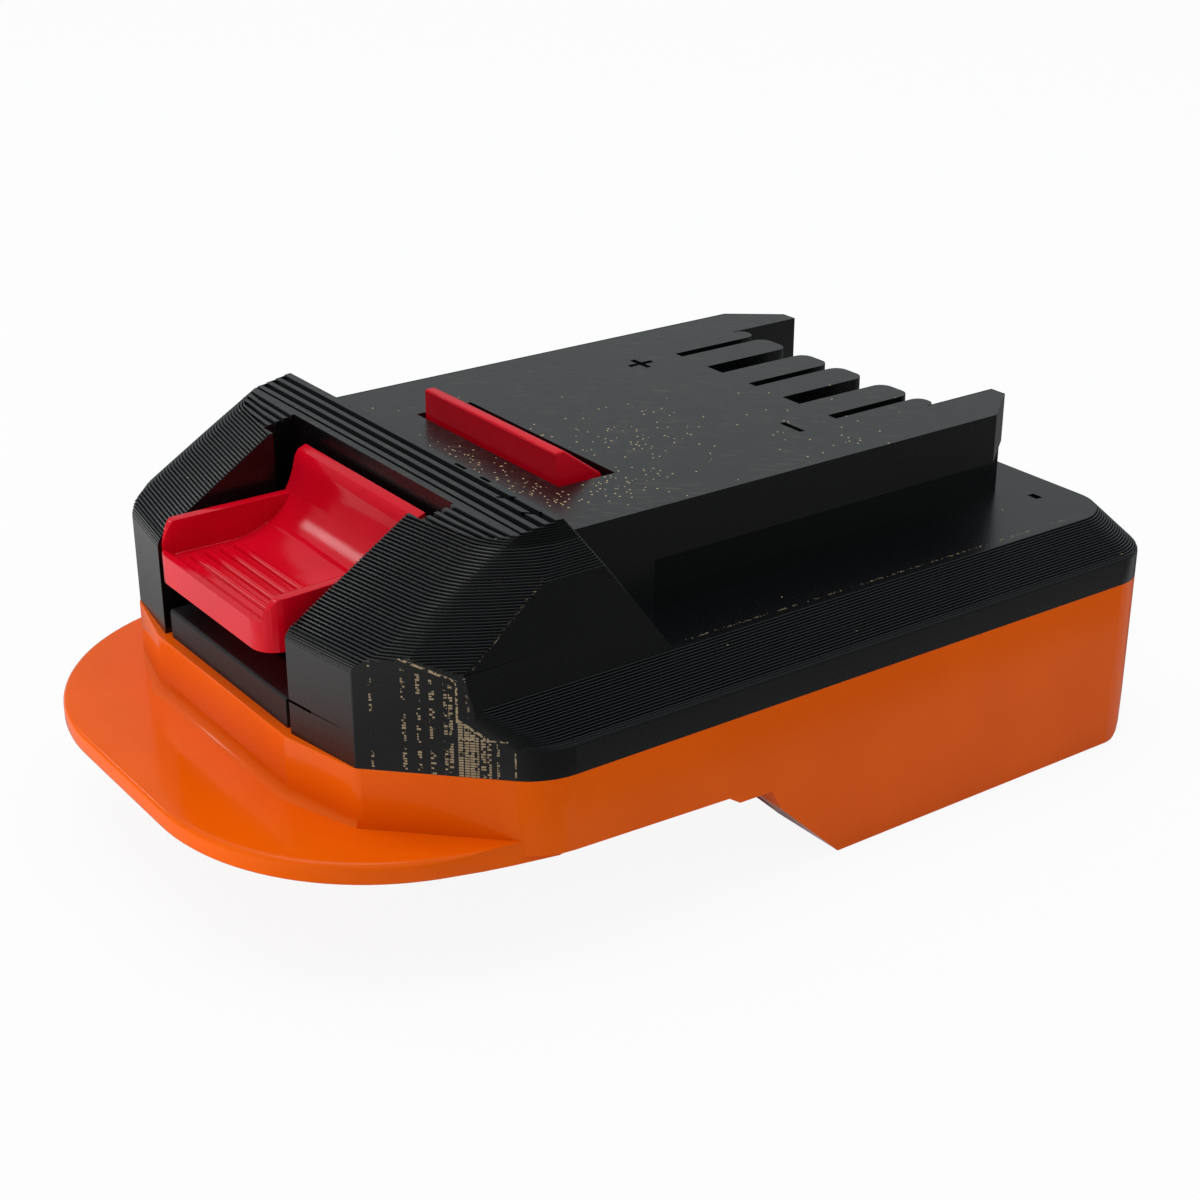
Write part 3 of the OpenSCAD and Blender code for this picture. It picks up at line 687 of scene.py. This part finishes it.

# %% [markdown]
# The nozzle also left rows of pale specks along the edges of the corner slopes, and a layer has
# split open on the right post. Such a mark is a straight line in space with a width: a point
# belongs to it if it is near enough to the line, and noise breaks the line into specks. The short
# dark dashes at the ends of the crown's terraces are painted shade, where the terraces' little steps
# lie in shade; they are drawn as such lines too.


# %% Black finish, marks along lines
def near_line(where, start, end, width):
    """1 within a width in millimetres of the straight line from start to end."""
    start, way = Vector(start), Vector(end) - Vector(start)
    offset = where.node("ShaderNodeVectorMath", {0: where, 1: start}, operation="SUBTRACT")
    share = offset.node("ShaderNodeVectorMath", {0: offset, 1: way / way.length_squared}, output="Value",
                        operation="DOT_PRODUCT")
    share = share.math("MAXIMUM", 0.0).math("MINIMUM", 1.0)
    foot = share.node("ShaderNodeVectorMath", {0: way, "Scale": share}, operation="SCALE")
    return offset.node("ShaderNodeVectorMath", {0: offset, 1: foot}, output="Value",
                       operation="DISTANCE") < width


def near_lines(where, lines):
    """The sum of several such lines, each given by its start, end and width."""
    return sum(near_line(where, *line) for line in lines)


def on_facet(along_run, height):
    return FACET_X + WAY_X * along_run, FACET_Y + WAY_Y * along_run, height


TAN_LINES = ((on_facet(4.4, 13.0), on_facet(10.8, 10.7), 0.16),
             (on_facet(BEND, 10.7), on_facet(BEND, 6.2), 0.13),
             (on_facet(BEND, 6.4), on_facet(13.6, 4.7), 0.14),
             (on_facet(0.9, 4.3), on_facet(4.0, 4.3), 0.09),
             (on_facet(11.0, 4.3), on_facet(16.0, 4.3), 0.09),
             (on_facet(16.8, 0.4), on_facet(16.8, 3.2), 0.09))
PALE_LINES = (((32.5, 20.7, 18.6), (34.0, 9.9, 10.9), 0.17),
              ((34.0, 9.9, 10.9), (34.3, 10.2, 6.6), 0.14),
              ((33.6, 38.0, 7.4), (33.6, 99.0, 7.4), 0.14))
PALE_SHARE = 0.45
POST_SPLIT = (((15.0, 0.0, 3.92), (18.8, 0.58, 3.86), 0.17),
              ((18.8, 0.58, 3.86), (25.7, 1.6, 3.88), 0.06))
# painted shade: dark dashes where the steps at the ends of the crown's terraces lie in shade
CROWN_STEP_SHADE = (((9.4, 24.9, 22.9), (11.2, 24.9, 22.9), 0.24),
              ((14.5, 24.9, 22.9), (16.0, 24.9, 22.9), 0.24),
              ((19.9, 23.5, 22.7), (21.4, 24.6, 22.8), 0.24),
              ((24.6, 22.7, 22.6), (26.5, 24.4, 22.8), 0.24))
specks = where.noise(2.6, 2, 0.6)
tan_lines = near_lines(where, TAN_LINES) * specks.step(0.44, 0.50)
pale_lines = near_lines(where, PALE_LINES) * specks.step(0.55, 0.60) * PALE_SHARE
# one mask for a real crack (the post's split) and painted shade (the crown's shaded step ends)
crack_and_step_shade = near_lines(where, POST_SPLIT + CROWN_STEP_SHADE).math("MINIMUM", 1.0)
print("lines of specks:", len(TAN_LINES + PALE_LINES), "cracks:", len(POST_SPLIT + CROWN_STEP_SHADE))

# %% [markdown]
# Crumbs of plastic lie on the rail plate, most of them by the lock bar. A Voronoi pattern has one
# round crumb to a cell. Each cell draws a lot, and its crumb shows if the lot is below the share of
# crumbs at that place. Fine slanting scratches hold a little dust.

# %% Black finish, crumbs
CRUMB_SPOTS = ((6, 31, 14, 3.2, 0.45), (18, 39, 4, 8, 0.40), (4, 50, 9, 12, 0.13),
               (14, 60, 16, 25, 0.04))
STRAY_SHARE, CRUMB_RADIUS, DUST_SHARE = 0.002, 0.23, 0.13
on_plate = z > 15
cells = where.node("ShaderNodeTexVoronoi", {"Vector": where, "Scale": 1.9})
lot, _, _ = Wire(cells.tree, cells.socket.node.outputs["Color"]).split()
crumb_share = STRAY_SHARE
for mid_x, mid_y, half_x, half_y, share in CRUMB_SPOTS:
    away = ((x - mid_x) / half_x).math("POWER", 2.0) + ((y - mid_y) / half_y).math("POWER", 2.0)
    crumb_share = away.step(1.5, 0.3) * share * on_plate + crumb_share
crumbs = (cells < CRUMB_RADIUS) * (lot < crumb_share) * level
scratches = slant.stretch(2.6, 0.35, 1).noise(1.0, 3, 0.6).step(0.54, 0.68) * level * on_plate
dust = scratches * where.noise(0.15, 2).step(0.35, 0.65) * DUST_SHARE
print("spots with crumbs:", len(CRUMB_SPOTS))

# %% [markdown]
# All of it is laid over the black in order: first the tan and pale marks, which are rougher than the
# print and so take its gloss away, then the crack on the post and the painted shade at the ends of
# the crown's terraces, which are dark and mirror nothing.

# %% Black finish, put together
lines = tan_lines + pale_lines
marks = (scrapes + lines + crumbs + dust).math("MINIMUM", 1.0)
tan = where.noise(1.3, 2).mix((0.24, 0.165, 0.085, 1), (0.40, 0.30, 0.18, 1))
tan = crumbs.mix(tan, (0.52, 0.40, 0.21, 1))
colour = marks.mix((0.0022, 0.0026, 0.0031, 1), tan)
# the crack and the painted shade at the crown's terrace ends become black that mirrors nothing
feed(shader, Base_Color=crack_and_step_shade.mix(colour, (0.0, 0.0, 0.0, 1)), Metallic=crack_and_step_shade,
     Roughness=0.22 + grain * 0.12 + marks * 0.3 + crack_and_step_shade * 0.7, Specular_IOR_Level=0.46,
     Normal=bump(strokes * 0.5 + walls * 0.5 + grain * 0.25, 0.03, 0.5))
rail_shell.data.materials.append(black)
print("black nodes:", len(black.node_tree.nodes))

# %% [markdown]
# ## Red plastic
# The latch is printed fine and polished, so it is the glossiest piece. A slow change in its
# roughness keeps its highlights from looking computed.

# %% Red finish
red, shader, where = finish("latch_red")
blush = where.noise(0.12, 3).step(0.35, 0.7)
feed(shader, Base_Color=blush.mix((0.58, 0.0012, 0.011, 1), (0.64, 0.0018, 0.015, 1)),
     Roughness=0.10 + where.noise(0.7, 4) * 0.08, Normal=bump(where.noise(0.9, 2), 0.02, 0.2),
     Specular_IOR_Level=0.17)
latch.data.materials.append(red)
print("red nodes:", len(red.node_tree.nodes))

# %% [markdown]
# ## Inner pieces
# Springs, contacts, leads and screws are out of sight in the closed adapter, but they are real
# pieces of the model. Metals get a drawn grain, insulation a soft mottling.


# %% Inner finishes
def metal(name, pale, deep, rough, grain):
    material, shader, where = finish(name)
    lines = where.stretch(*grain).noise(1.0, 5, 0.6)
    feed(shader, Base_Color=lines.step(0.3, 0.7).mix(deep, pale), Metallic=1.0,
         Roughness=rough + lines * 0.2)
    return material


def insulation(name, pale, deep, rough, shine):
    material, shader, where = finish(name)
    mottle = where.noise(0.8, 4, 0.6)
    feed(shader, Base_Color=mottle.step(0.3, 0.7).mix(deep, pale), Roughness=rough + mottle * 0.15,
         Normal=bump(where.noise(3.0, 3), 0.03, 0.4), Specular_IOR_Level=shine)
    return material


INSULATIONS = (
    ("deck_black", (0.010, 0.010, 0.011, 1), (0.006, 0.006, 0.007, 1), 0.42, 0.3),
    ("insulator_black", (0.020, 0.020, 0.022, 1), (0.012, 0.012, 0.013, 1), 0.4, 0.5),
    ("wire_red", (0.52, 0.010, 0.012, 1), (0.40, 0.006, 0.008, 1), 0.35, 0.5),
    ("wire_black", (0.012, 0.012, 0.012, 1), (0.006, 0.006, 0.006, 1), 0.35, 0.5),
    ("wire_yellow", (0.70, 0.58, 0.04, 1), (0.58, 0.46, 0.03, 1), 0.35, 0.5),
    ("sleeve_black", (0.016, 0.016, 0.017, 1), (0.010, 0.010, 0.011, 1), 0.5, 0.5),
)
METALS = (
    ("spring_steel", (0.62, 0.62, 0.64, 1), (0.46, 0.46, 0.48, 1), 0.22, (2, 2, 0.4)),
    ("screw_steel", (0.60, 0.60, 0.63, 1), (0.44, 0.44, 0.47, 1), 0.25, (0.5, 0.5, 4)),
    ("contact_brass", (0.72, 0.48, 0.16, 1), (0.56, 0.35, 0.10, 1), 0.25, (4, 0.4, 4)),
    ("blade_plated", (0.66, 0.62, 0.52, 1), (0.50, 0.46, 0.38, 1), 0.22, (4, 0.3, 4)),
    ("insert_brass", (0.68, 0.46, 0.15, 1), (0.50, 0.32, 0.09, 1), 0.3, (0.5, 0.5, 5)),
)
inner_finishes = {row[0]: insulation(*row) for row in INSULATIONS}
inner_finishes.update({row[0]: metal(*row) for row in METALS})
slots = {row["node"]: row["material_slot"] for row in frame["record"]["subparts"]}
for node, piece in frame["nodes"].items():
    if slots[node] in inner_finishes:
        piece.data.materials.clear()
        piece.data.materials.append(inner_finishes[slots[node]])
deck.data.materials.append(inner_finishes["deck_black"])
for piece in springs:
    piece.data.materials.append(inner_finishes["spring_steel"])
for piece, name in zip(leads, ("wire_red", "wire_yellow", "wire_black")):
    piece.data.materials.append(inner_finishes[name])
print("inner finishes:", len(inner_finishes))

# %% [markdown]
# ## Studio
# The photograph has a white ground and soft light from above and from the left. A pale floor, a
# sky that is brighter overhead, and one broad lamp give that. The camera sees the ground as white,
# and the floor keeps a soft shadow.

# %% Floor
FLOOR_SIZE, FLOOR_DROP = 12, 0.0003
bpy.ops.object.select_all(action="DESELECT")
bpy.ops.mesh.primitive_plane_add(size=FLOOR_SIZE, location=(0, 0, -FLOOR_DROP))
floor = bpy.context.object
floor.name = "floor"
print("floor is", FLOOR_SIZE, "m wide")


def ray_kinds(start):
    """Two masks: rays from the camera or through glass, and mirrored rays."""
    camera_ray, through, glossy = (start.node("ShaderNodeLightPath", {}, output=name) for name in (
        "Is Camera Ray", "Is Transmission Ray", "Is Glossy Ray"))
    return (camera_ray + through).math("MINIMUM", 1.0), glossy


# %% [markdown]
# The gloss on the front facets mirrors a bright table, and the gloss on the right side a darker one.
# So mirrored rays see the floor white in front, fading to grey towards the rear and the right, with
# one paler patch beside the right front corner. The camera sees plain white, apart from a small
# share of the lit floor, and that share is what shows the shadow.

# %% Floor finish
FADE_REAR, FADE_RIGHT, GAIN_LEFT = 0.018, 0.009, 0.004
FAR_GREY, PATCH_GAIN, SHADOW_SHARE = 0.15, 0.4, 0.08
ground, shader, where = finish("floor_white")
side, back, _ = where.split()
direct, mirrored = ray_kinds(where)
glow = back * -FADE_REAR - side.math("MAXIMUM", 0.0) * FADE_RIGHT
glow = glow - side.math("MINIMUM", 0.0) * GAIN_LEFT
patch = side.step(70.0, 60.0) * side.step(30.0, 45.0) * back.step(-36.0, -26.0)
glow = glow.math("MAXIMUM", patch * PATCH_GAIN + FAR_GREY).math("MINIMUM", 1.0)
shown = direct + mirrored * glow
paper = where.noise(0.004, 2).step(0.2, 0.8).mix((0.74, 0.74, 0.74, 1), (0.76, 0.76, 0.76, 1))
feed(shader, Base_Color=paper, Roughness=1.0, Specular_IOR_Level=0.0)
light = where.node("ShaderNodeEmission", {"Color": shown, "Strength": 1.0})
share = direct * (1 - SHADOW_SHARE) + mirrored
lit_paper = Wire(ground.node_tree, shader.outputs[0])
mixed = where.node("ShaderNodeMixShader", {0: share, 1: lit_paper, 2: light})
ground.node_tree.links.new(mixed.socket, ground.node_tree.nodes["Material Output"].inputs["Surface"])
floor.data.materials.append(ground)
print("floor nodes:", len(ground.node_tree.nodes))

# %% [markdown]
# The sky lights the object evenly, like a room with pale walls and a bright ceiling: dim at the
# horizon, brighter overhead, a little cool. Where the camera looks past the floor, it is white.

# %% Sky
HORIZON, OVERHEAD_GAIN, SKY_TINT = 0.19, 0.82, (0.94, 1.0, 1.03)
world = bpy.data.worlds.new("studio_sky")
world.use_nodes = True
bpy.context.scene.world = world
sky_tree = world.node_tree
toward = Wire(sky_tree, sky_tree.nodes.new("ShaderNodeTexCoord").outputs["Generated"])
_, _, height = toward.split()
direct, _ = ray_kinds(toward)
glow = HORIZON + OVERHEAD_GAIN * height.math("MAXIMUM", 0.0)
dome = toward.node("ShaderNodeVectorMath", {0: SKY_TINT, "Scale": glow}, operation="SCALE")
sky = toward.node("ShaderNodeBackground", {"Color": direct.mix(dome, (1, 1, 1, 1)), "Strength": 1.0})
sky_tree.links.new(sky.socket, sky_tree.nodes["World Output"].inputs["Surface"])
print("sky nodes:", len(sky_tree.nodes))

# %% [markdown]
# One broad lamp hangs nearly overhead. Two small ones only draw highlights: one from the left gives
# the soft patch in the scoop, one from behind gives thin lines along rounded edges. The last stands
# for the bright table in front: it lies there and lights the tongue's rim from below. It is hidden
# from the camera and from the gloss.


# %% Lamps
def area_lamp(name, spot, size, watts, target=(0, 0, 0)):
    """A square lamp that looks at a target, the origin if none is given."""
    data = bpy.data.lights.new(name, "AREA")
    data.size, data.energy = size, watts
    lamp = bpy.data.objects.new(name, data)
    bpy.context.scene.collection.objects.link(lamp)
    lamp.location = spot
    lamp.rotation_euler = (Vector(target) - lamp.location).to_track_quat("-Z", "Y").to_euler()
    return lamp


lamps = [area_lamp("window", (-0.10, -0.22, 0.87), 0.5, 2.4),
         area_lamp("side_lamp", (-0.689, -0.321, 0.436), 0.10, 0.2),
         area_lamp("rear_lamp", (0.14, 0.32, 0.90), 0.12, 0.5)]
table_lamp = area_lamp("table_lamp", (-0.05, -0.17, 0.0), 0.2, 0.25, target=(-0.05, -0.17, 1.0))
table_lamp.visible_camera = table_lamp.visible_glossy = False
print("lamps above:", len(lamps), "and one on the table")
